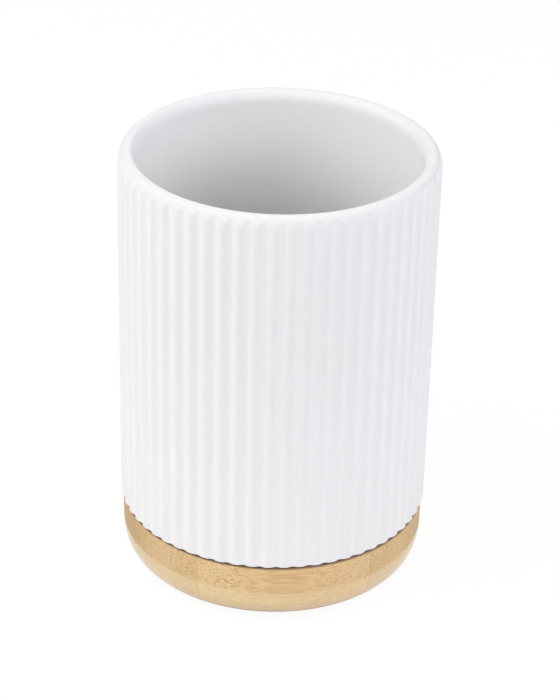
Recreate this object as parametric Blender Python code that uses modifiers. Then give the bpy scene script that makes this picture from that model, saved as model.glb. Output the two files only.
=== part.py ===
# Bathroom tumbler: a ribbed white ceramic cup bonded to a round base of laminated bamboo.
# Metres, +Z up. The origin is on the surface that the tumbler stands on, under the cup's axis.
# The front faces -Y.

import math

import bmesh
import bpy

OBJECT_NAME = "bamboo_tumbler"

# Cup
CUP_RADIUS = 0.0375
CUP_HEIGHT = 0.0910
CUP_WALL = 0.0043
LIP_OUTER_ROUND = 0.0022
LIP_INNER_ROUND = 0.0015
FLOOR_THICKNESS = 0.0040
FLOOR_FILLET = 0.0080
FOOT_RING_WIDTH = 0.0052
FOOT_RECESS_DEPTH = 0.0025
FOOT_ROUND = 0.0007

# Ribs: round grooves cut down the wall leave a rib between each two
RIB_PITCH = 0.0039
GROOVE_WIDTH = 0.0032
GROOVE_DEPTH = 0.0007
GROOVE_TOP_DROP = 0.0020
RIB_TURN_DEGREES = 2.0

# Bamboo base, turned from a board of strips glued edge to edge
BASE_INSET = 0.0006
BASE_THICKNESS = 0.0147
BASE_ROUND_HEIGHT = 0.0070
BASE_ROUND_INSET = 0.0040
BASE_EDGE_ROUND = 0.0004
BOSS_HEIGHT = 0.0012
BOSS_CHAMFER = 0.0003
STRIP_COUNT = 5
OUTER_STRIP_SHARE = 0.17
GRAIN_TURN_DEGREES = 6.0

# Adhesive between the base's boss and the cup's foot
BOND_MARGIN = 0.0015

# Rubber pads under the base
PAD_COUNT = 4
PAD_RADIUS = 0.0045
PAD_THICKNESS = 0.0010
PAD_EDGE_ROUND = 0.0004
PAD_MARGIN = 0.0034
FIRST_PAD_DEGREES = 45.0

# Clearances
SEAT_GAP = 0.0003
BOSS_CLEARANCE = 0.0005
GLUE_LINE = 0.0003
CUT_OVERRUN = 0.0020

# Facets around each turned piece. The cup has two for each rib
CUP_FACETS_PER_RIB = 2
BASE_FACETS = 96
BOND_FACETS = 48
PAD_FACETS = 32
GROOVE_FACETS = 24
GROOVE_END_RINGS = 12
LIP_SEGMENTS = 5
FILLET_SEGMENTS = 6
EDGE_SEGMENTS = 3

AXIS_MERGE_DISTANCE = 0.00001
SHARP_EDGE_DEGREES = 35.0

# Heights of the pieces, from the surface that the tumbler stands on
BASE_BOTTOM = PAD_THICKNESS + SEAT_GAP
BASE_TOP = BASE_BOTTOM + BASE_THICKNESS
CUP_BOTTOM = BASE_TOP + SEAT_GAP
BOND_BOTTOM = BASE_TOP + BOSS_HEIGHT + SEAT_GAP
BOND_TOP = CUP_BOTTOM + FOOT_RECESS_DEPTH - SEAT_GAP

# Radii that follow from the sizes above
CAVITY_RADIUS = CUP_RADIUS - CUP_WALL
RECESS_RADIUS = CUP_RADIUS - FOOT_RING_WIDTH
BASE_RADIUS = CUP_RADIUS - BASE_INSET
BOSS_RADIUS = RECESS_RADIUS - BOSS_CLEARANCE
BOND_RADIUS = BOSS_RADIUS - BOND_MARGIN
PAD_CIRCLE_RADIUS = BASE_RADIUS - BASE_ROUND_INSET - PAD_MARGIN - PAD_RADIUS
RIB_COUNT = round(2 * math.pi * CUP_RADIUS / RIB_PITCH)


def clear_scene():
    for obj in list(bpy.data.objects):
        bpy.data.objects.remove(obj, do_unlink=True)


def new_collection(name):
    collection = bpy.data.collections.new(name)
    bpy.context.scene.collection.children.link(collection)
    return collection


def new_object(name, mesh, collection):
    obj = bpy.data.objects.new(name, mesh)
    collection.objects.link(obj)
    return obj


def make_material(name, colour, roughness, metallic=0.0):
    material = bpy.data.materials.new(name)
    material.use_nodes = True
    shader = material.node_tree.nodes["Principled BSDF"]
    shader.inputs["Base Color"].default_value = (*colour, 1.0)
    shader.inputs["Roughness"].default_value = roughness
    shader.inputs["Metallic"].default_value = metallic
    material.diffuse_color = (*colour, 1.0)
    return material


def glaze_material():
    return make_material("white_glaze", (0.86, 0.86, 0.87), 0.35)


def bamboo_material(number):
    tone_shares = (1.00, 0.96, 1.02, 0.98, 1.03)
    tone = tone_shares[number % len(tone_shares)]
    return make_material(f"bamboo_{number}", (0.72 * tone, 0.50 * tone, 0.26 * tone), 0.45)


def adhesive_material():
    return make_material("clear_silicone", (0.78, 0.78, 0.75), 0.50)


def pad_material():
    return make_material("pad_rubber", (0.55, 0.55, 0.54), 0.80)


def arc(centre, radii, start_degrees, end_degrees, segments):
    """Points along an elliptical arc in the profile plane, both ends included."""
    points = []
    for step in range(segments + 1):
        angle = math.radians(start_degrees + (end_degrees - start_degrees) * step / segments)
        points.append((centre[0] + radii[0] * math.cos(angle), centre[1] + radii[1] * math.sin(angle)))
    return points


def turned(name, outline, facets, collection):
    """A body turned about Z. The outline is (radius, height) points that run down its outer side."""
    mesh = bpy.data.meshes.new(name)
    points = [(radius, 0.0, height) for radius, height in outline]
    edges = [(index, index + 1) for index in range(len(points) - 1)]
    mesh.from_pydata(points, edges, [])
    obj = new_object(name, mesh, collection)
    screw = obj.modifiers.new("Turn", "SCREW")
    screw.axis = "Z"
    screw.angle = 2 * math.pi
    screw.steps = facets
    screw.render_steps = facets
    screw.use_merge_vertices = True
    screw.merge_threshold = AXIS_MERGE_DISTANCE
    return obj


def boolean(obj, cutter, operation):
    modifier = obj.modifiers.new(operation.title(), "BOOLEAN")
    modifier.operation = operation
    modifier.solver = "EXACT"
    modifier.object = cutter


def mark_as_cutter(obj):
    obj.display_type = "WIRE"
    obj.hide_render = True


def settle(obj, material):
    """Turns the object's modifiers into plain faces, shaded smooth between its sharp edges."""
    graph = bpy.context.evaluated_depsgraph_get()
    mesh = bpy.data.meshes.new_from_object(obj.evaluated_get(graph), depsgraph=graph)
    mesh.name = obj.name
    obj.modifiers.clear()
    obj.data = mesh
    mesh.shade_smooth()
    mesh.set_sharp_from_angle(angle=math.radians(SHARP_EDGE_DEGREES))
    mesh.materials.clear()
    mesh.materials.append(material)


def cup_outline():
    floor = FOOT_RECESS_DEPTH + FLOOR_THICKNESS
    fillet_centre = (CAVITY_RADIUS - FLOOR_FILLET, floor + FLOOR_FILLET)
    inner_lip_centre = (CAVITY_RADIUS + LIP_INNER_ROUND, CUP_HEIGHT - LIP_INNER_ROUND)
    outer_lip_centre = (CUP_RADIUS - LIP_OUTER_ROUND, CUP_HEIGHT - LIP_OUTER_ROUND)
    foot_centre = (CUP_RADIUS - FOOT_ROUND, FOOT_ROUND)
    outline = [(0.0, floor)]
    outline += arc(fillet_centre, (FLOOR_FILLET, FLOOR_FILLET), -90, 0, FILLET_SEGMENTS)
    outline += arc(inner_lip_centre, (LIP_INNER_ROUND, LIP_INNER_ROUND), 180, 90, LIP_SEGMENTS)
    outline += arc(outer_lip_centre, (LIP_OUTER_ROUND, LIP_OUTER_ROUND), 90, 0, LIP_SEGMENTS)
    outline += arc(foot_centre, (FOOT_ROUND, FOOT_ROUND), 0, -90, EDGE_SEGMENTS)
    outline += [(RECESS_RADIUS, 0.0), (RECESS_RADIUS, FOOT_RECESS_DEPTH), (0.0, FOOT_RECESS_DEPTH)]
    return outline


def groove_cutter(cutters, parent):
    """Rods with round ends around the cup, one for each groove between two ribs."""
    half_width = GROOVE_WIDTH / 2
    rod_radius = (half_width**2 + GROOVE_DEPTH**2) / (2 * GROOVE_DEPTH)
    rod_distance = CUP_RADIUS - GROOVE_DEPTH + rod_radius
    top = CUP_HEIGHT - GROOVE_TOP_DROP
    bottom = -CUT_OVERRUN - rod_radius
    mesh = bpy.data.meshes.new("grooves")
    shape = bmesh.new()
    bmesh.ops.create_uvsphere(
        shape, u_segments=GROOVE_FACETS, v_segments=GROOVE_END_RINGS, radius=rod_radius
    )
    lower_end = [vert for vert in shape.verts if vert.co.z < -AXIS_MERGE_DISTANCE]
    bmesh.ops.translate(shape, verts=shape.verts, vec=(rod_distance, 0.0, top))
    bmesh.ops.translate(shape, verts=lower_end, vec=(0.0, 0.0, bottom - top))
    shape.to_mesh(mesh)
    shape.free()
    rods = new_object("grooves", mesh, cutters)
    rods.parent = parent
    turn = new_object("groove_step", None, cutters)
    turn.parent = parent
    turn.rotation_euler.z = 2 * math.pi / RIB_COUNT
    ring = rods.modifiers.new("Ring", "ARRAY")
    ring.count = RIB_COUNT
    ring.use_relative_offset = False
    ring.use_object_offset = True
    ring.offset_object = turn
    mark_as_cutter(rods)
    return rods


def make_cup(parts, cutters, root):
    stand = new_object("cup_frame", None, parts)
    stand.parent = root
    stand.location.z = CUP_BOTTOM
    stand.rotation_euler.z = math.radians(RIB_TURN_DEGREES)
    cup = turned("cup", cup_outline(), CUP_FACETS_PER_RIB * RIB_COUNT, parts)
    cup.parent = stand
    boolean(cup, groove_cutter(cutters, stand), "DIFFERENCE")
    settle(cup, glaze_material())


def base_outline():
    upper_centre = (BASE_RADIUS - BASE_EDGE_ROUND, BASE_THICKNESS - BASE_EDGE_ROUND)
    lower_centre = (BASE_RADIUS - BASE_ROUND_INSET, BASE_ROUND_HEIGHT)
    boss_top = BASE_THICKNESS + BOSS_HEIGHT
    outline = [
        (0.0, boss_top),
        (BOSS_RADIUS - BOSS_CHAMFER, boss_top),
        (BOSS_RADIUS, boss_top - BOSS_CHAMFER),
        (BOSS_RADIUS, BASE_THICKNESS),
    ]
    outline += arc(upper_centre, (BASE_EDGE_ROUND, BASE_EDGE_ROUND), 90, 0, EDGE_SEGMENTS)
    outline += arc(lower_centre, (BASE_ROUND_INSET, BASE_ROUND_HEIGHT), 0, -90, FILLET_SEGMENTS)
    outline.append((0.0, 0.0))
    return outline


def strip_edges():
    """Where each strip starts and ends across the grain, from the front of the base to its back.

    The front and rear strips take a share of the base's radius. The others split the rest evenly.
    """
    first_joint = BASE_RADIUS * (OUTER_STRIP_SHARE - 1)
    strip_width = -2 * first_joint / (STRIP_COUNT - 2)
    joints = [first_joint + strip_width * number for number in range(STRIP_COUNT - 1)]
    starts = [-BASE_RADIUS - CUT_OVERRUN, *joints]
    ends = [*joints, BASE_RADIUS + CUT_OVERRUN]
    return list(zip(starts, ends))


def strip_slab(name, start, end, cutters, parent):
    """The block of board that one strip is cut from."""
    length = 2 * (BASE_RADIUS + CUT_OVERRUN)
    height = BASE_THICKNESS + BOSS_HEIGHT + 2 * CUT_OVERRUN
    mesh = bpy.data.meshes.new(name)
    shape = bmesh.new()
    bmesh.ops.create_cube(shape, size=1.0)
    bmesh.ops.scale(shape, verts=shape.verts, vec=(length, end - start - GLUE_LINE, height))
    shape.to_mesh(mesh)
    shape.free()
    slab = new_object(name, mesh, cutters)
    slab.parent = parent
    slab.location.y = (start + end) / 2
    slab.location.z = height / 2 - CUT_OVERRUN
    mark_as_cutter(slab)
    return slab


def make_base_strips(parts, cutters, frame):
    for number, (start, end) in enumerate(strip_edges(), start=1):
        name = f"base_strip_{number}"
        strip = turned(name, base_outline(), BASE_FACETS, parts)
        strip.parent = frame
        slab = strip_slab(f"{name}_board", start, end, cutters, frame)
        boolean(strip, slab, "INTERSECT")
        settle(strip, bamboo_material(number))


def make_bond_disc(parts, root):
    outline = [
        (0.0, BOND_TOP - BOND_BOTTOM),
        (BOND_RADIUS, BOND_TOP - BOND_BOTTOM),
        (BOND_RADIUS, 0.0),
        (0.0, 0.0),
    ]
    disc = turned("bond_disc", outline, BOND_FACETS, parts)
    disc.parent = root
    disc.location.z = BOND_BOTTOM
    settle(disc, adhesive_material())


def pad_outline():
    round_centre = (PAD_RADIUS - PAD_EDGE_ROUND, PAD_EDGE_ROUND)
    outline = [(0.0, PAD_THICKNESS), (PAD_RADIUS, PAD_THICKNESS)]
    outline += arc(round_centre, (PAD_EDGE_ROUND, PAD_EDGE_ROUND), 0, -90, EDGE_SEGMENTS)
    outline.append((0.0, 0.0))
    return outline


def make_foot_pads(parts, frame):
    for number in range(PAD_COUNT):
        angle = math.radians(FIRST_PAD_DEGREES) + 2 * math.pi * number / PAD_COUNT
        pad = turned(f"foot_pad_{number + 1}", pad_outline(), PAD_FACETS, parts)
        pad.parent = frame
        pad.location.x = PAD_CIRCLE_RADIUS * math.cos(angle)
        pad.location.y = PAD_CIRCLE_RADIUS * math.sin(angle)
        pad.location.z = -BASE_BOTTOM
        settle(pad, pad_material())


def main():
    clear_scene()
    parts = new_collection(OBJECT_NAME)
    cutters = new_collection("cutters")
    root = new_object("tumbler_origin", None, parts)
    base_frame = new_object("base_frame", None, parts)
    base_frame.parent = root
    base_frame.location.z = BASE_BOTTOM
    base_frame.rotation_euler.z = math.radians(GRAIN_TURN_DEGREES)
    make_cup(parts, cutters, root)
    make_bond_disc(parts, root)
    make_base_strips(parts, cutters, base_frame)
    make_foot_pads(parts, base_frame)


main()
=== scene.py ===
"""Looks for the bathroom tumbler: a ribbed white glazed cup on a round base of laminated bamboo.

Metres, +Z up, the front faces -Y. Each fine piece stands where its CAD node is.
"""

import math

import bmesh
import bpy
import numpy as np
from mathutils import Matrix, Vector


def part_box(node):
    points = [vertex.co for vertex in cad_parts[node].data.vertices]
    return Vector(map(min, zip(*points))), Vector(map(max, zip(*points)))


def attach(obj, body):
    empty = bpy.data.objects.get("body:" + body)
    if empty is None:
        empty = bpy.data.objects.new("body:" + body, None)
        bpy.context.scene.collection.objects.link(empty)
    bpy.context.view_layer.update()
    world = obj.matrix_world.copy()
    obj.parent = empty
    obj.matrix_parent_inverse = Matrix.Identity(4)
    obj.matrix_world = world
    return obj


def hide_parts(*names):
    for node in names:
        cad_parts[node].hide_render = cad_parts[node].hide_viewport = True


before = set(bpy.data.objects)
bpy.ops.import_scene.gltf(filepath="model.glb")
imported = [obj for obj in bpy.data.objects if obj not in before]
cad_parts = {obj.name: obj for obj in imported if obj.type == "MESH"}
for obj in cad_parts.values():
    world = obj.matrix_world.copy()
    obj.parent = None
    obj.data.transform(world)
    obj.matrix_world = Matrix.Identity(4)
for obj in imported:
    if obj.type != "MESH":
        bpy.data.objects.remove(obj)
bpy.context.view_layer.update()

MM = 0.001

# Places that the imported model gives
CUP_LOW, CUP_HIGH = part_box("cup")
BOND_LOW, BOND_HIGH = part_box("bond_disc")
PAD_BOXES = {f"foot_pad_{number}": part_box(f"foot_pad_{number}") for number in range(1, 5)}
STRIP_NODES = [f"base_strip_{number}" for number in range(1, 6)]
BASE_LOW = min(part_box(node)[0].z for node in STRIP_NODES)

# Cup
CREST_RADIUS = (CUP_HIGH.x - CUP_LOW.x) / 2
CUP_BOTTOM = CUP_LOW.z
CUP_TOP = CUP_HIGH.z
CAVITY_RADIUS = 33.2 * MM
LIP_OUTER_ROUND = 2.2 * MM
LIP_OUTER_DROP = 3.0 * MM
LIP_INNER_ROUND = 1.5 * MM
LIP_INNER_DROP = 3.2 * MM
FLOOR_HEIGHT = 6.5 * MM
FLOOR_FILLET = 8.0 * MM
FOOT_ROUND = 0.6 * MM
RECESS_RADIUS = 32.3 * MM
RECESS_DEPTH = 2.5 * MM
SURFACE_MARGIN = 0.1 * MM

# Ribs
RIB_COUNT = 60
RIB_TURN = math.radians(2.0)
COLUMNS_PER_RIB = 20
GROOVE_DEPTH = 0.70 * MM
GROOVE_SHARPNESS = 1.05
GROOVE_END_BLEND = 0.40 * MM
LEAST_BLEND = 1e-9

# The cast wall's waver: waves around the cup and radians for each metre of height
CAST_WAVER = 0.03 * MM
CAST_WAVER_FADE = 4.0 * MM
FIRST_WAVER = (3, 40)
SECOND_WAVER = (2, -55)

# Zones of the glaze: where each starts and how far it fades
POOL_DROP = 0.5 * MM
POOL_FADE = 0.9 * MM
INNER_MARGIN = 1.1 * MM
INNER_FADE = 0.8 * MM
GLOSS_MARGIN = 0.6 * MM
GLOSS_FADE = 0.3 * MM
LIP_ZONE_DROP = 1.6 * MM
LIP_ZONE_FADE = 1.2 * MM
# Painted shade inside the cup: where it starts below the lip and how far it deepens
INSIDE_SHADE_DROP = 5.0 * MM
INSIDE_SHADE_FADE = 30.0 * MM
# Bare foot: unglazed and rougher, and painted dark brown as the seam's shade
BARE_FOOT_HEIGHT = 0.16 * MM
BARE_FOOT_FADE = 0.10 * MM
CAVITY_START_SHARE = 0.9
# How far below the lip the painted bounce light starts; from there to the foot the body grows lighter
BOUNCE_LIGHT_DROP = 18.0 * MM
# Where on the lip's rounds the painted highlight shows
CROWN_HIGHLIGHT_WINDOW = (0.70, 1.0)

# Glaze colours, linear, and how strongly they show
GLAZE_DARKER = (0.857, 0.855, 0.863)
GLAZE_LIGHTER = (0.869, 0.867, 0.875)
# Painted light: the lower body is lighter, as if lit by light bounced up from the floor
GLAZE_LOWER_BOUNCE_LIGHT = (0.920, 0.918, 0.925)
# Whiter in the grooves: partly pooled glaze, partly painted light over the grooves' shade
GLAZE_POOLED_AND_LIT = (0.985, 0.983, 0.989)
# Painted shade: the lip band is darker, toning down the light that falls on it
GLAZE_LIP_SHADE = (0.838, 0.835, 0.840)
# Painted highlight: the crown of the lip is lighter
GLAZE_CROWN_HIGHLIGHT = (0.900, 0.898, 0.903)
# Inside: painted shade, from the colour near the rim to the darker one deep in the cup
GLAZE_INSIDE_HIGH = (0.940, 0.945, 0.953)
GLAZE_INSIDE_PAINTED_SHADE = (0.728, 0.722, 0.713)
# Painted shade: dark brown on the bare foot and in the recess, the seam's shadow
FOOT_SHADE_DARKER = (0.20, 0.155, 0.125)
FOOT_SHADE_LIGHTER = (0.28, 0.22, 0.18)
# How strongly the grooves' pooled glaze and painted light, and the lip's painted shade, show
POOLED_AND_LIT_SHARE = 0.46
LIP_SHADE_SHARE = 0.85
SPECKLE_SPAN = (0.990, 1.0)

# Glaze surface. The roughness of each zone is added to the body's
GLAZE_ROUGHNESS = (0.40, 0.44)
INNER_ROUGHNESS = -0.07
POOLED_ROUGHNESS = -0.05
BARE_ROUGHNESS = 0.40
LIP_ROUGHNESS = 0.30
INNER_GLOSS = 0.35
SPECKLE_RELIEF = 0.010 * MM
PEEL_RELIEF = 0.025 * MM

# Bamboo base
GRAIN_TURN = math.radians(6.0)
BASE_RADIUS = 36.9 * MM
BASE_THICKNESS = 14.7 * MM
BASE_ROUND_HEIGHT = 7.0 * MM
BASE_ROUND_INSET = 4.0 * MM
BASE_TOP_ROUND = 0.45 * MM
BASE_TOP = BASE_LOW + BASE_THICKNESS
BASE_COLUMNS = 384
BOSS_RADIUS = 31.8 * MM
BOSS_HEIGHT = 1.2 * MM
BOSS_ROUND = 0.3 * MM
STRIP_WIDTH = 20.418 * MM
FIRST_JOINT = -STRIP_WIDTH * (len(STRIP_NODES) - 2) / 2
HAIRLINE = 0.05 * MM
CUT_TOLERANCE = 1e-7
AXIS_GUARD = 1.0 * MM
END_GRAIN_START = 0.75

# For each strip, its tone and how far its layers stand upright
STRIP_LOOKS = ((1.00, 0.0), (0.93, 1.0), (1.01, 0.2), (0.93, 1.0), (1.02, 0.3))

# Bamboo colours, linear
BAMBOO_PALE = (0.875, 0.632, 0.345)
BAMBOO_DEEP = (0.706, 0.461, 0.206)
BAMBOO_BROWN = (0.430, 0.250, 0.095)
BAMBOO_BRIGHT = (0.950, 0.755, 0.440)
# Paler lower band: partly the sanded wood, partly a painted sheen
BAMBOO_SANDED_SHEEN = (0.890, 0.710, 0.385)
# Painted shade of the seam under the cup: lighter lower down, darker at the top
SEAM_SHADE_LOWER = (0.350, 0.218, 0.132)
SEAM_SHADE_UPPER = (0.225, 0.128, 0.072)

# Fibre bundles: the distance between them and how far they wander
BUNDLE_PITCH = 0.78 * MM
BUNDLE_WANDER = 1.2 * MM
THREAD_PITCH = 0.46 * MM
THREAD_WANDER = 0.8 * MM
GLINT_PITCH = 0.52 * MM
GLINT_WANDER = 0.9 * MM
DOT_WINDOW = (0.12, 0.38)
GLINT_WINDOW = (0.10, 0.36)

# How strongly each mark shows on a plain strip, and what an upright layer adds to that
LAYER_STRENGTH, LAYER_CHANGE = 0.25, 0.35
DOT_STRENGTH, DOT_CHANGE = 0.62, -0.20
THREAD_STRENGTH, THREAD_CHANGE = 0.38, -0.06
GLINT_STRENGTH, GLINT_CHANGE = 0.80, -0.15

# How strongly the rest of the grain shows on every strip
GROUND_SPAN = (0.25, 0.90)
FLECK_STRENGTH = 0.60
FIBRE_STRENGTH = 0.40
END_GRAIN_STRENGTH = 0.80
CROWDING_SPAN = (0.5, 1.0)
BREAK_SPAN = (0.25, 1.0)

# Where on the base the marks thin out, the sanding ends and the bottom darkens, and how strongly each
# shows. The sanded band is paler partly as a painted sheen, and the darkening at the bottom and along its
# edge is painted shade
MARKS_WINDOW = (BASE_LOW + 5.0 * MM, BASE_LOW + 10.0 * MM)
MARKS_SPAN = (0.55, 1.0)
SANDED_TOP = BASE_LOW + 7.5 * MM
SANDED_FADE = 0.7 * MM
SANDED_SHEEN_STRENGTH = 0.30
# Painted shade: browner towards the bottom
BOTTOM_SHADE_WINDOW = (BASE_LOW + 1.2 * MM, BASE_LOW + 5.0 * MM)
BOTTOM_SHADE_STRENGTH = 0.30
# Painted shade: a dark line along the bottom edge, which is also rougher and less lacquered
EDGE_WINDOW = (BASE_LOW + 0.9 * MM, BASE_LOW + 1.9 * MM)
EDGE_SHADE_STRENGTH = 0.85

# Painted shade on the base's upper edge under the cup, the seam's shadow
SEAM_SHADE_DEPTH = 0.45 * MM
SEAM_SHADE_FADE = 0.14 * MM
SEAM_SHADE_SLOPE = 0.005
SEAM_SHADE_UPPER_WINDOW = (BASE_TOP - 0.22 * MM, BASE_TOP - 0.08 * MM)

# Bamboo surface
BAMBOO_ROUGHNESS = (0.38, 0.50)
EDGE_ROUGHNESS = 0.35
POLISH_STRENGTH = 0.95
FIBRE_RELIEF = 0.020 * MM
DOT_RELIEF = 0.015 * MM

# Steps between the offsets of one strip's textures and the next one's
SHIFT_STEPS = (3.7, 11.3, 5.9)
BUNDLE_SEED, THREAD_SEED, GLINT_SEED = 1.7, 2.9, 4.3

# Adhesive and pads
BOND_COLUMNS = 128
SILICONE_DARKER = (0.72, 0.72, 0.69)
SILICONE_LIGHTER = (0.82, 0.82, 0.79)
SILICONE_ROUGHNESS = (0.35, 0.55)
SILICONE_RELIEF = 0.08 * MM
PAD_COLUMNS = 72
PAD_LOWER_ROUND = 0.4 * MM
PAD_UPPER_ROUND = 0.1 * MM
PAD_GREY = (0.52, 0.52, 0.51)
PAD_DUST = (0.62, 0.61, 0.60)
PAD_ROUGHNESS = (0.70, 0.88)
PAD_RELIEF = 0.03 * MM

# Texture scales, in cells for each metre along X, Y and Z
CLOUD_CELLS = (24.0, 24.0, 18.0)
SPECKLE_CELLS = (900.0, 900.0, 700.0)
PEEL_CELLS = (420.0, 420.0, 420.0)
DRIFT_CELLS = (35.0, 60.0, 60.0)
CROWDING_CELLS = (30.0, 130.0, 130.0)
BREAK_CELLS = (260.0, 700.0, 700.0)
FIBRE_CELLS = (90.0, 2400.0, 2400.0)
FLECK_CELLS = (120.0, 1300.0, 1300.0)
LAYER_CELLS = (18.0, 800.0, 45.0)
TONE_CELLS = (20.0, 90.0, 90.0)
SILICONE_CELLS = (260.0, 260.0, 400.0)
SKIN_CELLS = (3200.0, 3200.0, 3200.0)
DUST_CELLS = (500.0, 500.0, 500.0)

# Parts of a noise's range that a remap spreads out
SOFT_WINDOW = (0.30, 0.70)
DUST_WINDOW = (0.35, 0.70)
MIDDLE_WINDOW = (0.35, 0.65)
CRISP_WINDOW = (0.38, 0.62)
CRISPEST_WINDOW = (0.40, 0.60)
CROWDING_WINDOW = (0.35, 0.60)
BREAK_WINDOW = (0.35, 0.55)

# Camera, from the fit to the photograph's outline, lip and seam
IMAGE_WIDTH = 560
IMAGE_HEIGHT = 700
IMAGE_CENTRE = (275.508, 349.576)
FOCAL_PIXELS = 2328.64
SENSOR = 36.0
CLIP_START = 0.01
CAMERA_DISTANCE = 0.5605
CAMERA_ELEVATION = math.radians(29.3287)
CAMERA_ROLL = math.radians(1.311)
LOOK_AT_HEIGHT = 54.3 * MM

# The floor is a hair below the pads, so that its face and theirs aren't one
FLOOR_DROP = 0.05 * MM
FLOOR_RADIUS = 4.0
FLOOR_CORNERS = 96
FLOOR_GREY = 0.92
PLAIN_WHITE = 1.02
PLAIN_WHITE_SHARE = 0.92

# Azimuth and elevation of each lamp in degrees, power in watts, colour
LAMPS = (
    ("left", -100, 48, 4.4, (1.0, 1.0, 1.0)),
    ("left_front", -50, 44, 5.1, (1.0, 0.995, 1.0)),
    ("front", 35, 28, 2.65, (0.99, 0.98, 1.03)),
    ("right", 94, 38, 4.85, (0.985, 0.98, 1.02)),
)
LAMP_DISTANCE = 0.9
LAMP_WIDTH = 1.3
LAMP_HEIGHT = 0.65

# Colour sockets of a Mix node, which has other sockets of the same names
MIX_FIRST, MIX_SECOND, MIX_RESULT = 6, 7, 2


# Meshes

def arc(centre, radii, start, end, segments):
    """Points of an elliptical arc in the profile plane, in degrees, both ends included."""
    angles = np.radians(np.linspace(start, end, segments + 1))
    return [(centre[0] + radii[0] * math.cos(a), centre[1] + radii[1] * math.sin(a)) for a in angles]


def line(start, end, segments):
    """Points between two profile points, without the first one."""
    return [
        (start[0] + (end[0] - start[0]) * step / segments, start[1] + (end[1] - start[1]) * step / segments)
        for step in range(1, segments + 1)
    ]


def lathe_arrays(profile, columns, shape=None):
    """Vertices and faces of a body turned about Z. The profile runs down its outer side.

    The first and last points lie on the axis. shape(radius, height, angle) may return other radii.
    """
    angles = np.arange(columns) * (2 * math.pi / columns)
    rings = profile[1:-1]
    radii = np.array([point[0] for point in rings])[:, None] * np.ones(columns)[None, :]
    heights = np.array([point[1] for point in rings])[:, None] * np.ones(columns)[None, :]
    turns = angles[None, :] * np.ones(len(rings))[:, None]
    if shape:
        radii = shape(radii, heights, turns)
    ring_points = np.stack([radii * np.cos(turns), radii * np.sin(turns), heights], -1).reshape(-1, 3)
    points = np.concatenate([[[0.0, 0.0, profile[0][1]]], ring_points, [[0.0, 0.0, profile[-1][1]]]])
    last = len(points) - 1
    faces = []
    for column in range(columns):
        after = (column + 1) % columns
        faces.append((0, 1 + column, 1 + after))
        for ring in range(len(rings) - 1):
            upper = 1 + ring * columns
            lower = upper + columns
            faces.append((upper + column, lower + column, lower + after, upper + after))
        bottom = 1 + (len(rings) - 1) * columns
        faces.append((last, bottom + after, bottom + column))
    return points, faces


def mesh_from(name, points, faces):
    mesh = bpy.data.meshes.new(name)
    mesh.from_pydata([tuple(point) for point in points], [], faces)
    mesh.update()
    return mesh


def add_piece(name, mesh, material, node, sharp_degrees=40.0):
    mesh.shade_smooth()
    mesh.set_sharp_from_angle(angle=math.radians(sharp_degrees))
    mesh.materials.append(material)
    obj = bpy.data.objects.new(name, mesh)
    bpy.context.scene.collection.objects.link(obj)
    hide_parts(node)
    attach(obj, "root")


def add_attribute(mesh, name, values):
    layer = mesh.attributes.new(name, "FLOAT", "POINT")
    layer.data.foreach_set("value", np.asarray(values, dtype=np.float32))


def share_of(distance, fade):
    """0 up to the start of a zone, 1 once it is fully there, and straight in between."""
    return np.clip(distance / fade, 0.0, 1.0)


# Node helpers

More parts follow.
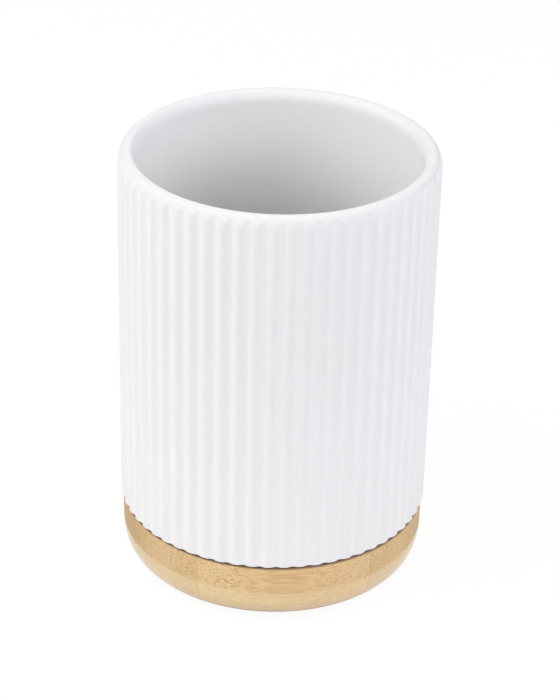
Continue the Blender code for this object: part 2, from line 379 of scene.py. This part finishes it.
class Nodes:
    """Short calls for the few kinds of shader node that the materials use."""

    def __init__(self, name):
        self.material = bpy.data.materials.new(name)
        self.material.use_nodes = True
        self.tree = self.material.node_tree
        self.shader = self.tree.nodes["Principled BSDF"]
        self.coordinates = self.add("ShaderNodeTexCoord").outputs["Object"]

    def turn_about_z(self, angle):
        """Turns the coordinates that every texture from here on uses."""
        node = self.add("ShaderNodeVectorRotate", rotation_type="Z_AXIS")
        self.link(self.coordinates, node.inputs["Vector"])
        node.inputs["Angle"].default_value = angle
        self.coordinates = node.outputs["Vector"]

    def add(self, kind, **settings):
        node = self.tree.nodes.new(kind)
        for key, value in settings.items():
            setattr(node, key, value)
        return node

    def link(self, output, socket):
        self.tree.links.new(output, socket)

    def feed(self, value, socket):
        """Sets a number or a colour on the socket, or links an output to it."""
        if isinstance(value, (int, float)):
            socket.default_value = value
        elif isinstance(value, tuple):
            socket.default_value = (*value, 1.0)
        else:
            self.link(value, socket)

    def math(self, operation, first, second=0.0, third=0.0):
        node = self.add("ShaderNodeMath", operation=operation)
        for value, socket in zip((first, second, third), node.inputs):
            self.feed(value, socket)
        return node.outputs[0]

    def times(self, first, second):
        return self.math("MULTIPLY", first, second)

    def remap(self, value, window, span=(0.0, 1.0)):
        """Spreads a window of values smoothly over a span."""
        node = self.add("ShaderNodeMapRange", interpolation_type="SMOOTHSTEP")
        for item, socket in zip((value, *window, *span), node.inputs):
            self.feed(item, socket)
        return node.outputs[0]

    def place(self, scale, offset):
        """Object coordinates in texture cells. The scale is in cells for each metre along each axis."""
        mapping = self.add("ShaderNodeMapping")
        self.link(self.coordinates, mapping.inputs["Vector"])
        mapping.inputs["Scale"].default_value = scale
        mapping.inputs["Location"].default_value = offset
        return mapping.outputs["Vector"]

    def noise(self, scale, offset=(0.0, 0.0, 0.0), detail=2.0, roughness=0.5):
        node = self.add("ShaderNodeTexNoise")
        self.link(self.place(scale, offset), node.inputs["Vector"])
        node.inputs["Scale"].default_value = 1.0
        node.inputs["Detail"].default_value = detail
        node.inputs["Roughness"].default_value = roughness
        return node.outputs["Fac"]

    def axis(self, name):
        """One of the object coordinates."""
        split = self.add("ShaderNodeSeparateXYZ")
        self.link(self.coordinates, split.inputs[0])
        return split.outputs[name]

    def fibre_ends(self, pitch, seed, wander):
        """Distance to the nearest fibre bundle. The bundles run along X and wander a little."""
        drift = self.noise(DRIFT_CELLS, offset=(seed, seed * 2, seed * 3), detail=1.0)
        shift = self.times(drift, wander)
        across = self.add("ShaderNodeCombineXYZ")
        self.link(self.math("ADD", self.axis("Y"), shift), across.inputs["X"])
        self.link(self.math("SUBTRACT", self.axis("Z"), shift), across.inputs["Y"])
        node = self.add("ShaderNodeTexVoronoi", voronoi_dimensions="2D")
        self.link(across.outputs[0], node.inputs["Vector"])
        node.inputs["Scale"].default_value = 1 / pitch
        return node.outputs["Distance"]

    def attribute(self, name):
        return self.add("ShaderNodeAttribute", attribute_name=name).outputs["Fac"]

    def mix(self, share, first, second, blend="MIX"):
        """The second colour over the first one, by its share."""
        node = self.add("ShaderNodeMix", data_type="RGBA", blend_type=blend)
        self.feed(share, node.inputs["Factor"])
        self.feed(first, node.inputs[MIX_FIRST])
        self.feed(second, node.inputs[MIX_SECOND])
        return node.outputs[MIX_RESULT]

    def grey(self, value):
        """A grey colour of this value."""
        node = self.add("ShaderNodeCombineColor")
        for socket in node.inputs[:3]:
            self.link(value, socket)
        return node.outputs[0]

    def bump(self, height, distance, normal=None):
        node = self.add("ShaderNodeBump")
        node.inputs["Distance"].default_value = distance
        node.inputs["Strength"].default_value = 1.0
        self.link(height, node.inputs["Height"])
        if normal:
            self.link(normal, node.inputs["Normal"])
        return node.outputs["Normal"]

    def set(self, **values):
        for key, value in values.items():
            self.feed(value, self.shader.inputs[key.replace("_", " ")])


# Materials

def glaze_colour(nodes, cloud, fine):
    """White glaze by zone, with a fine speckle. Painted light makes the lower body lighter, pooled glaze
    and painted light make the grooves whiter, painted shade darkens the lip band, a painted highlight
    lightens the crown, and painted shade darkens the inside deeper down.
    """
    body = nodes.mix(cloud, GLAZE_DARKER, GLAZE_LIGHTER)
    # Painted light: lighter towards the foot, in place of the floor's bounce light
    painted_bounce_light = nodes.remap(nodes.axis("Z"), (CUP_TOP - BOUNCE_LIGHT_DROP, CUP_BOTTOM))
    colour = nodes.mix(painted_bounce_light, body, GLAZE_LOWER_BOUNCE_LIGHT)
    # Grooves whiter: pooled glaze, and painted light that lifts their shade
    colour = nodes.mix(nodes.times(nodes.attribute("glaze_pool_and_light"), POOLED_AND_LIT_SHARE), colour, GLAZE_POOLED_AND_LIT)
    # Painted shade on the lip band
    colour = nodes.mix(nodes.times(nodes.attribute("lip"), LIP_SHADE_SHARE), colour, GLAZE_LIP_SHADE)
    # Painted highlight on the crown of the lip
    colour = nodes.mix(nodes.remap(nodes.attribute("crown"), CROWN_HIGHLIGHT_WINDOW), colour, GLAZE_CROWN_HIGHLIGHT)
    # Painted shade inside: darker the deeper in the cup
    deep = nodes.remap(nodes.attribute("depth"), (0.0, 1.0))
    inside = nodes.mix(deep, GLAZE_INSIDE_HIGH, GLAZE_INSIDE_PAINTED_SHADE)
    colour = nodes.mix(nodes.attribute("inner"), colour, inside)
    speckle = nodes.grey(nodes.remap(fine, CRISP_WINDOW, SPECKLE_SPAN))
    return nodes.mix(1.0, colour, speckle, blend="MULTIPLY")


def glaze_material():
    """Satin white glaze, whiter in the grooves where it pools and with painted light, glossier inside, bare
    under the foot and painted dark brown there as the seam's shade.
    """
    nodes = Nodes("white_glaze")
    cloud = nodes.noise(CLOUD_CELLS, detail=2.0, roughness=0.4)
    fine = nodes.noise(SPECKLE_CELLS, offset=(3.1, 1.7, 0.4), detail=3.0, roughness=0.6)
    peel = nodes.noise(PEEL_CELLS, offset=(0.7, 5.2, 2.2), detail=2.0)
    # Painted shade of the seam on the bare foot
    foot_shade = nodes.mix(nodes.remap(fine, MIDDLE_WINDOW), FOOT_SHADE_DARKER, FOOT_SHADE_LIGHTER)
    colour = nodes.mix(nodes.attribute("bare"), glaze_colour(nodes, cloud, fine), foot_shade)
    rough = nodes.remap(cloud, SOFT_WINDOW, GLAZE_ROUGHNESS)
    zones = (
        ("inner", INNER_ROUGHNESS), ("glaze_pool_and_light", POOLED_ROUGHNESS),
        ("bare", BARE_ROUGHNESS), ("lip", LIP_ROUGHNESS),
    )
    for zone, change in zones:
        rough = nodes.math("MULTIPLY_ADD", nodes.attribute(zone), change, rough)
    relief = nodes.bump(fine, SPECKLE_RELIEF, normal=nodes.bump(peel, PEEL_RELIEF))
    nodes.set(Base_Color=colour, Roughness=rough, Normal=relief)
    nodes.set(IOR=1.50, Specular_IOR_Level=0.5)
    nodes.set(Coat_Weight=nodes.times(nodes.attribute("gloss"), INNER_GLOSS))
    nodes.set(Coat_Roughness=0.12, Coat_IOR=1.5)
    return nodes.material


def bamboo_ground(nodes, shift, layered, fibres, tinted):
    """The wood between the fibre ends: clouds of tone, layers, flecks and fine fibres."""
    flecks = nodes.noise(FLECK_CELLS, offset=(shift[2], shift[0], shift[1]), detail=2.0)
    layers = nodes.noise(LAYER_CELLS, offset=shift, detail=3.0, roughness=0.55)
    tone_cloud = nodes.noise(TONE_CELLS, offset=shift, detail=3.0)
    pale, deep = tinted(BAMBOO_PALE), tinted(BAMBOO_DEEP)
    layer_strength = LAYER_STRENGTH + LAYER_CHANGE * layered
    colour = nodes.mix(nodes.remap(tone_cloud, SOFT_WINDOW, GROUND_SPAN), deep, pale)
    colour = nodes.mix(nodes.remap(layers, MIDDLE_WINDOW, (0.0, layer_strength)), colour, deep)
    colour = nodes.mix(nodes.remap(flecks, CRISPEST_WINDOW, (0.0, FLECK_STRENGTH)), colour, pale)
    return nodes.mix(nodes.remap(fibres, CRISP_WINDOW[::-1], (0.0, FIBRE_STRENGTH)), colour, deep)


def bamboo_crowd(nodes, shift):
    """How strongly the fibre ends show: in drifts, broken along the grain, and less low down."""
    crowding = nodes.noise(CROWDING_CELLS, offset=shift, detail=1.0)
    breaks = nodes.noise(BREAK_CELLS, offset=shift, detail=2.0)
    drifts = nodes.remap(crowding, CROWDING_WINDOW, CROWDING_SPAN)
    crowd = nodes.times(drifts, nodes.remap(breaks, BREAK_WINDOW, BREAK_SPAN))
    return nodes.times(crowd, nodes.remap(nodes.axis("Z"), MARKS_WINDOW, MARKS_SPAN))


def bamboo_marks(nodes, colour, shift, seed, layered, dots, tinted):
    """Brown and bright fibre ends over the ground, and cut ends where the side faces along the grain."""
    brown = tinted(BAMBOO_BROWN)
    threads = nodes.fibre_ends(THREAD_PITCH, seed * THREAD_SEED, THREAD_WANDER)
    glints = nodes.fibre_ends(GLINT_PITCH, seed * GLINT_SEED, GLINT_WANDER)
    marks = (
        (dots, DOT_STRENGTH + DOT_CHANGE * layered, brown),
        (nodes.remap(threads, DOT_WINDOW, (1.0, 0.0)), THREAD_STRENGTH + THREAD_CHANGE * layered, brown),
        (
            nodes.remap(glints, GLINT_WINDOW, (1.0, 0.0)),
            GLINT_STRENGTH + GLINT_CHANGE * layered,
            tinted(BAMBOO_BRIGHT),
        ),
    )
    crowd = bamboo_crowd(nodes, shift)
    for mark, strength, mark_colour in marks:
        colour = nodes.mix(nodes.times(nodes.times(mark, crowd), strength), colour, mark_colour)
    return nodes.mix(nodes.times(nodes.attribute("end_grain"), END_GRAIN_STRENGTH), colour, brown)


def bamboo_seam_shaded(nodes, colour):
    """Painted shade on the rim under the cup, the seam's shadow, reaching a little lower towards +X."""
    height = nodes.axis("Z")
    # The painted shade's lower edge tilts, so that it reaches lower towards +X
    uneven = nodes.math("MULTIPLY_ADD", nodes.axis("X"), SEAM_SHADE_SLOPE, height)
    seam_shade_low = BASE_TOP - SEAM_SHADE_DEPTH
    seat = nodes.remap(uneven, (seam_shade_low - SEAM_SHADE_FADE / 2, seam_shade_low + SEAM_SHADE_FADE / 2))
    seam_shade_colour = nodes.mix(nodes.remap(height, SEAM_SHADE_UPPER_WINDOW), SEAM_SHADE_LOWER, SEAM_SHADE_UPPER)
    return nodes.mix(seat, colour, seam_shade_colour)


def bamboo_material(name, seed, tone, layered):
    """Clear-lacquered bamboo, with a painted sheen on the lower band and painted shade at the bottom and
    under the cup. X runs along the fibres, and layered strips have their layers upright.
    """
    def tinted(colour):
        return tuple(channel * tone for channel in colour)

    nodes = Nodes(name)
    nodes.turn_about_z(-GRAIN_TURN)
    shift = tuple(seed * step for step in SHIFT_STEPS)
    height = nodes.axis("Z")
    brown = tinted(BAMBOO_BROWN)
    fibres = nodes.noise(FIBRE_CELLS, offset=shift, detail=4.0, roughness=0.65)
    bundles = nodes.fibre_ends(BUNDLE_PITCH, seed * BUNDLE_SEED, BUNDLE_WANDER)
    dots = nodes.remap(bundles, DOT_WINDOW, (1.0, 0.0))
    ground = bamboo_ground(nodes, shift, layered, fibres, tinted)
    grained = bamboo_marks(nodes, ground, shift, seed, layered, dots, tinted)
    # Lower band: paler, partly from sanding and partly as a painted sheen; it also takes the fuller coat
    sanded_sheen = nodes.remap(height, (SANDED_TOP + SANDED_FADE / 2, SANDED_TOP - SANDED_FADE / 2))
    colour = nodes.mix(nodes.times(sanded_sheen, SANDED_SHEEN_STRENGTH), grained, BAMBOO_SANDED_SHEEN)
    # Painted shade: browner towards the bottom
    colour = nodes.mix(nodes.remap(height, BOTTOM_SHADE_WINDOW, (BOTTOM_SHADE_STRENGTH, 0.0)), colour, brown)
    # The bottom edge: painted dark shade in the colour, and rougher with less coat
    edge = nodes.remap(height, EDGE_WINDOW, (1.0, 0.0))
    colour = nodes.mix(nodes.times(edge, EDGE_SHADE_STRENGTH), colour, brown)
    satin = nodes.remap(fibres, SOFT_WINDOW, BAMBOO_ROUGHNESS)
    rough = nodes.math("MULTIPLY_ADD", edge, EDGE_ROUGHNESS, satin)
    relief = nodes.bump(dots, DOT_RELIEF, normal=nodes.bump(fibres, FIBRE_RELIEF))
    polish = nodes.times(nodes.math("SUBTRACT", 1.0, edge), POLISH_STRENGTH)
    nodes.set(Base_Color=bamboo_seam_shaded(nodes, colour), Roughness=rough, Normal=relief)
    nodes.set(IOR=1.50, Specular_IOR_Level=0.25)
    nodes.set(Coat_Weight=nodes.times(sanded_sheen, polish))
    nodes.set(Coat_Roughness=0.16, Coat_IOR=1.6)
    return nodes.material


def silicone_material():
    """Cured adhesive, cloudy and a little uneven."""
    nodes = Nodes("clear_silicone")
    cloud = nodes.noise(SILICONE_CELLS, detail=3.0)
    colour = nodes.mix(nodes.remap(cloud, SOFT_WINDOW), SILICONE_DARKER, SILICONE_LIGHTER)
    nodes.set(Base_Color=colour, Roughness=nodes.remap(cloud, SOFT_WINDOW, SILICONE_ROUGHNESS))
    nodes.set(Normal=nodes.bump(cloud, SILICONE_RELIEF))
    return nodes.material


def pad_material():
    """Soft grey rubber with a fine matt skin and a little dust."""
    nodes = Nodes("pad_rubber")
    skin = nodes.noise(SKIN_CELLS, detail=3.0, roughness=0.6)
    dust = nodes.noise(DUST_CELLS, offset=(2.0, 7.0, 1.0), detail=3.0)
    colour = nodes.mix(nodes.remap(dust, DUST_WINDOW), PAD_GREY, PAD_DUST)
    nodes.set(Base_Color=colour, Roughness=nodes.remap(skin, SOFT_WINDOW, PAD_ROUGHNESS))
    nodes.set(Normal=nodes.bump(skin, PAD_RELIEF))
    return nodes.material


# Pieces

def cup_profile():
    """Outline of the cup from the floor's centre over the lip and down to the foot, then the recess."""
    floor = CUP_BOTTOM + FLOOR_HEIGHT
    ceiling = CUP_BOTTOM + RECESS_DEPTH
    fillet = (CAVITY_RADIUS - FLOOR_FILLET, floor + FLOOR_FILLET)
    inner_lip = (CAVITY_RADIUS + LIP_INNER_ROUND, CUP_TOP - LIP_INNER_DROP)
    outer_lip = (CREST_RADIUS - LIP_OUTER_ROUND, CUP_TOP - LIP_OUTER_DROP)
    foot = (CREST_RADIUS - FOOT_ROUND, CUP_BOTTOM + FOOT_ROUND)
    points = [(0.0, floor)]
    points += line((0.0, floor), (fillet[0], floor), segments=6)
    points += arc(fillet, (FLOOR_FILLET, FLOOR_FILLET), -90, 0, segments=14)[1:]
    points += line((CAVITY_RADIUS, fillet[1]), (CAVITY_RADIUS, inner_lip[1]), segments=14)
    points += arc(inner_lip, (LIP_INNER_ROUND, LIP_INNER_DROP), 180, 90, segments=14)[1:]
    points += line((inner_lip[0], CUP_TOP), (outer_lip[0], CUP_TOP), segments=2)
    points += arc(outer_lip, (LIP_OUTER_ROUND, LIP_OUTER_DROP), 90, 0, segments=24)[1:]
    points += line((CREST_RADIUS, outer_lip[1]), (CREST_RADIUS, foot[1]), segments=20)
    points += arc(foot, (FOOT_ROUND, FOOT_ROUND), 0, -90, segments=4)[1:]
    points += line((foot[0], CUP_BOTTOM), (RECESS_RADIUS, CUP_BOTTOM), segments=3)
    points += line((RECESS_RADIUS, CUP_BOTTOM), (RECESS_RADIUS, ceiling), segments=3)
    points += line((RECESS_RADIUS, ceiling), (0.0, ceiling), segments=5)
    return points


def groove_share(turns):
    """1 at the middle of a groove, falling to 0 on the crown of a rib."""
    phase = RIB_COUNT * (turns - RIB_TURN)
    return (0.5 + 0.5 * np.cos(phase)) ** GROOVE_SHARPNESS


def smooth_least(first, second, blend):
    """The lesser of two lengths, with a soft crease where they meet."""
    share = np.clip(0.5 + 0.5 * (second - first) / blend, 0.0, 1.0)
    return second * (1 - share) + first * share - blend * share * (1 - share)


def cup_radii(radii, heights, turns):
    """Cuts the grooves, which run out on the lip's outer round, and adds a slight cast waver."""
    depth = GROOVE_DEPTH * groove_share(turns)
    outside = radii > CAVITY_RADIUS + LIP_INNER_ROUND + SURFACE_MARGIN
    blend = np.minimum(GROOVE_END_BLEND, depth) + LEAST_BLEND
    cut = np.minimum(smooth_least(radii, CREST_RADIUS - depth, blend), radii)
    first = np.sin(FIRST_WAVER[0] * turns + FIRST_WAVER[1] * heights)
    second = np.cos(SECOND_WAVER[0] * turns + SECOND_WAVER[1] * heights)
    waver = CAST_WAVER * (0.5 + 0.5 * first * second)
    return np.where(outside, cut - waver * share_of(CUP_TOP - heights, CAST_WAVER_FADE), radii)


def add_cup_zones(mesh, points):
    """Attributes from 0 to 1 that tell the glaze where it is on the cup."""
    radius = np.hypot(points[:, 0], points[:, 1])
    turns = np.arctan2(points[:, 1], points[:, 0])
    height = points[:, 2]
    drop = CUP_TOP - height
    cavity = height > CUP_BOTTOM + CAVITY_START_SHARE * FLOOR_HEIGHT
    wall = share_of(drop - POOL_DROP, POOL_FADE) * (radius > CAVITY_RADIUS + LIP_INNER_ROUND)
    round_drop = np.where(radius < CAVITY_RADIUS + LIP_INNER_ROUND, LIP_INNER_DROP, LIP_OUTER_DROP)
    foot = share_of(CUP_BOTTOM + BARE_FOOT_HEIGHT - height, BARE_FOOT_FADE)
    recess = radius < RECESS_RADIUS + SURFACE_MARGIN
    recess = recess & (height < CUP_BOTTOM + RECESS_DEPTH + SURFACE_MARGIN)
    zones = {
        "inner": cavity * share_of(CAVITY_RADIUS + INNER_MARGIN - radius, INNER_FADE),
        # Depth: how far the painted shade inside has darkened
        "depth": share_of(drop - INSIDE_SHADE_DROP, INSIDE_SHADE_FADE),
        # Groove share: pooled glaze in the roughness; pooled glaze and painted light in the colour
        "glaze_pool_and_light": wall * groove_share(turns),
        # Lip band: rougher glaze, and painted shade in the colour
        "lip": share_of(LIP_ZONE_DROP - drop, LIP_ZONE_FADE),
        "gloss": cavity * share_of(CAVITY_RADIUS + GLOSS_MARGIN - radius, GLOSS_FADE),
        # Crown: where the painted highlight shows
        "crown": share_of(round_drop - drop, round_drop),
        # Bare: unglazed and rougher, and painted dark brown as shade
        "bare": np.maximum(foot, recess.astype(float)),
    }
    for name, values in zones.items():
        add_attribute(mesh, name, values)


def make_cup():
    points, faces = lathe_arrays(cup_profile(), RIB_COUNT * COLUMNS_PER_RIB, cup_radii)
    mesh = mesh_from("glazed_cup", points, faces)
    add_cup_zones(mesh, points)
    add_piece("glazed_cup", mesh, glaze_material(), "cup", sharp_degrees=60.0)


def base_profile():
    """Outline of the uncut base from the boss over the seat and down to the underside."""
    boss_top = BASE_TOP + BOSS_HEIGHT
    boss_round = (BOSS_RADIUS - BOSS_ROUND, boss_top - BOSS_ROUND)
    top_round = (BASE_RADIUS - BASE_TOP_ROUND, BASE_TOP - BASE_TOP_ROUND)
    lower_round = (BASE_RADIUS - BASE_ROUND_INSET, BASE_LOW + BASE_ROUND_HEIGHT)
    points = [(0.0, boss_top)]
    points += line((0.0, boss_top), (boss_round[0], boss_top), segments=6)
    points += arc(boss_round, (BOSS_ROUND, BOSS_ROUND), 90, 0, segments=3)[1:]
    points += line((BOSS_RADIUS, boss_round[1]), (BOSS_RADIUS, BASE_TOP), segments=1)
    points += line((BOSS_RADIUS, BASE_TOP), (top_round[0], BASE_TOP), segments=3)
    points += arc(top_round, (BASE_TOP_ROUND, BASE_TOP_ROUND), 90, 0, segments=4)[1:]
    points += line((BASE_RADIUS, top_round[1]), (BASE_RADIUS, lower_round[1]), segments=6)
    points += arc(lower_round, (BASE_ROUND_INSET, BASE_ROUND_HEIGHT), 0, -90, segments=24)[1:]
    points += line((lower_round[0], BASE_LOW), (0.0, BASE_LOW), segments=6)
    return points


def cut_flat(shape, place, keep_above):
    """Cuts the body across the grain at y = place, keeps one side and closes the cut."""
    geometry = shape.verts[:] + shape.edges[:] + shape.faces[:]
    cut = bmesh.ops.bisect_plane(
        shape, geom=geometry, dist=CUT_TOLERANCE, plane_co=(0.0, place, 0.0), plane_no=(0.0, 1.0, 0.0),
        clear_inner=keep_above, clear_outer=not keep_above,
    )
    rim = [item for item in cut["geom_cut"] if isinstance(item, bmesh.types.BMEdge)]
    bmesh.ops.edgeloop_fill(shape, edges=rim)


def end_grain_share(mesh):
    """1 where the side faces along the fibres, so that their cut ends show, and 0 on most of the round."""
    places = np.array([vert.co[:] for vert in mesh.vertices])
    radius = np.maximum(np.hypot(places[:, 0], places[:, 1]), AXIS_GUARD)
    along = np.abs(places[:, 0] * math.cos(GRAIN_TURN) + places[:, 1] * math.sin(GRAIN_TURN)) / radius
    drop = share_of(BASE_LOW + BASE_ROUND_HEIGHT - places[:, 2], BASE_ROUND_HEIGHT)
    side = np.sqrt(1 - drop**2) / BASE_ROUND_INSET
    under = drop / BASE_ROUND_HEIGHT
    facing = along * side / np.hypot(side, under)
    return share_of(facing - END_GRAIN_START, 1 - END_GRAIN_START) ** 2


def strip_mesh(name, index, points, faces):
    """One strip of the base: the turned body, cut along its glue lines and turned with the grain."""
    shape = bmesh.new()
    verts = [shape.verts.new(tuple(point)) for point in points]
    for face in faces:
        shape.faces.new([verts[corner] for corner in face])
    near = FIRST_JOINT + STRIP_WIDTH * (index - 1)
    if index > 0:
        cut_flat(shape, near + HAIRLINE / 2, keep_above=True)
    if index < len(STRIP_NODES) - 1:
        cut_flat(shape, near + STRIP_WIDTH - HAIRLINE / 2, keep_above=False)
    bmesh.ops.recalc_face_normals(shape, faces=shape.faces[:])
    bmesh.ops.rotate(shape, verts=shape.verts[:], matrix=Matrix.Rotation(GRAIN_TURN, 3, "Z"))
    mesh = bpy.data.meshes.new(name)
    shape.to_mesh(mesh)
    shape.free()
    return mesh


def make_base():
    points, faces = lathe_arrays(base_profile(), BASE_COLUMNS)
    for index, (node, (tone, layered)) in enumerate(zip(STRIP_NODES, STRIP_LOOKS)):
        name = f"bamboo_strip_{index + 1}"
        mesh = strip_mesh(name, index, points, faces)
        add_attribute(mesh, "end_grain", end_grain_share(mesh))
        material = bamboo_material(f"bamboo_{index + 1}", index + 1.0, tone, layered)
        add_piece(name, mesh, material, node)


def make_bond():
    radius = (BOND_HIGH.x - BOND_LOW.x) / 2
    half = (BOND_HIGH.z - BOND_LOW.z) / 2
    middle = (BOND_HIGH.z + BOND_LOW.z) / 2
    profile = [(0.0, BOND_HIGH.z)]
    profile += line((0.0, BOND_HIGH.z), (radius - half, BOND_HIGH.z), segments=5)
    profile += arc((radius - half, middle), (half, half), 90, -90, segments=10)[1:]
    profile += line((radius - half, BOND_LOW.z), (0.0, BOND_LOW.z), segments=5)
    points, faces = lathe_arrays(profile, BOND_COLUMNS)
    mesh = mesh_from("adhesive_disc", points, faces)
    add_piece("adhesive_disc", mesh, silicone_material(), "bond_disc")


def pad_profile(radius, low, high):
    upper_centre = (radius - PAD_UPPER_ROUND, high - PAD_UPPER_ROUND)
    lower_centre = (radius - PAD_LOWER_ROUND, low + PAD_LOWER_ROUND)
    points = [(0.0, high)]
    points += line((0.0, high), (upper_centre[0], high), segments=3)
    points += arc(upper_centre, (PAD_UPPER_ROUND, PAD_UPPER_ROUND), 90, 0, segments=3)[1:]
    points += arc(lower_centre, (PAD_LOWER_ROUND, PAD_LOWER_ROUND), 0, -90, segments=6)
    points += line((lower_centre[0], low), (0.0, low), segments=3)
    return points


def make_pads():
    material = pad_material()
    for node, (low, high) in PAD_BOXES.items():
        centre = (low + high) / 2
        profile = pad_profile((high.x - low.x) / 2, low.z, high.z)
        points, faces = lathe_arrays(profile, PAD_COLUMNS)
        points = points + np.array([centre.x, centre.y, 0.0])
        mesh = mesh_from(f"rubber_{node}", points, faces)
        add_piece(f"rubber_{node}", mesh, material, node)


# Stage, light and camera

def see_through_share(tree):
    """1 for camera, glossy and transmission rays, and 0 for the rays of diffuse light."""
    path = tree.nodes.new("ShaderNodeLightPath")
    total = path.outputs["Is Camera Ray"]
    for name in ("Is Glossy Ray", "Is Transmission Ray"):
        most = tree.nodes.new("ShaderNodeMath")
        most.operation = "MAXIMUM"
        tree.links.new(total, most.inputs[0])
        tree.links.new(path.outputs[name], most.inputs[1])
        total = most.outputs[0]
    return total


def floor_material():
    """A pale floor. What the camera sees of it is mostly plain white with the shadow kept in it."""
    material = bpy.data.materials.new("floor_white")
    material.use_nodes = True
    tree = material.node_tree
    tree.nodes.clear()
    out = tree.nodes.new("ShaderNodeOutputMaterial")
    diffuse = tree.nodes.new("ShaderNodeBsdfDiffuse")
    diffuse.inputs["Color"].default_value = (FLOOR_GREY, FLOOR_GREY, FLOOR_GREY, 1.0)
    white = tree.nodes.new("ShaderNodeEmission")
    white.inputs["Color"].default_value = (1.0, 1.0, 1.0, 1.0)
    white.inputs["Strength"].default_value = PLAIN_WHITE
    share = tree.nodes.new("ShaderNodeMath")
    share.operation = "MULTIPLY"
    share.inputs[1].default_value = PLAIN_WHITE_SHARE
    mix = tree.nodes.new("ShaderNodeMixShader")
    tree.links.new(see_through_share(tree), share.inputs[0])
    tree.links.new(share.outputs[0], mix.inputs[0])
    tree.links.new(diffuse.outputs[0], mix.inputs[1])
    tree.links.new(white.outputs[0], mix.inputs[2])
    tree.links.new(mix.outputs[0], out.inputs[0])
    return material


def make_floor():
    mesh = bpy.data.meshes.new("floor")
    shape = bmesh.new()
    bmesh.ops.create_circle(shape, cap_ends=True, segments=FLOOR_CORNERS, radius=FLOOR_RADIUS)
    shape.to_mesh(mesh)
    shape.free()
    mesh.materials.append(floor_material())
    floor = bpy.data.objects.new("floor", mesh)
    floor.location.z = -FLOOR_DROP
    bpy.context.scene.collection.objects.link(floor)


def make_world():
    """A background that is white to look at and in reflections, and gives no other light."""
    world = bpy.data.worlds.new("studio")
    bpy.context.scene.world = world
    world.use_nodes = True
    tree = world.node_tree
    background = tree.nodes["Background"]
    background.inputs["Color"].default_value = (1.0, 1.0, 1.0, 1.0)
    tree.links.new(see_through_share(tree), background.inputs["Strength"])


def make_lamps():
    """Soft lamps around the cup. Azimuth is from the front (-Y) towards +X."""
    aim = Vector((0.0, 0.0, LOOK_AT_HEIGHT))
    for name, azimuth, elevation, power, colour in LAMPS:
        turn, rise = math.radians(azimuth), math.radians(elevation)
        level = math.cos(rise)
        way = Vector((math.sin(turn) * level, -math.cos(turn) * level, math.sin(rise)))
        lamp = bpy.data.lights.new(name, "AREA")
        lamp.shape = "RECTANGLE"
        lamp.size = LAMP_WIDTH
        lamp.size_y = LAMP_HEIGHT
        lamp.energy = power
        lamp.color = colour
        obj = bpy.data.objects.new(name, lamp)
        obj.location = aim + way * LAMP_DISTANCE
        obj.rotation_euler = way.to_track_quat("Z", "Y").to_euler()
        bpy.context.scene.collection.objects.link(obj)


def make_camera():
    data = bpy.data.cameras.new("camera")
    data.sensor_width = SENSOR
    data.lens = SENSOR * FOCAL_PIXELS / IMAGE_HEIGHT
    data.shift_x = (IMAGE_WIDTH / 2 - IMAGE_CENTRE[0]) / IMAGE_HEIGHT
    data.shift_y = (IMAGE_CENTRE[1] - IMAGE_HEIGHT / 2) / IMAGE_HEIGHT
    data.clip_start = CLIP_START
    camera = bpy.data.objects.new("camera", data)
    back = Vector((0.0, -math.cos(CAMERA_ELEVATION), math.sin(CAMERA_ELEVATION)))
    place = Vector((0.0, 0.0, LOOK_AT_HEIGHT)) + back * CAMERA_DISTANCE
    turn = back.to_track_quat("Z", "Y").to_matrix().to_4x4() @ Matrix.Rotation(CAMERA_ROLL, 4, "Z")
    camera.matrix_world = Matrix.Translation(place) @ turn
    bpy.context.scene.collection.objects.link(camera)
    bpy.context.scene.camera = camera


make_camera()
make_floor()
make_world()
make_lamps()
make_cup()
make_base()
make_bond()
make_pads()
bpy.context.scene.view_settings.view_transform = "Standard"
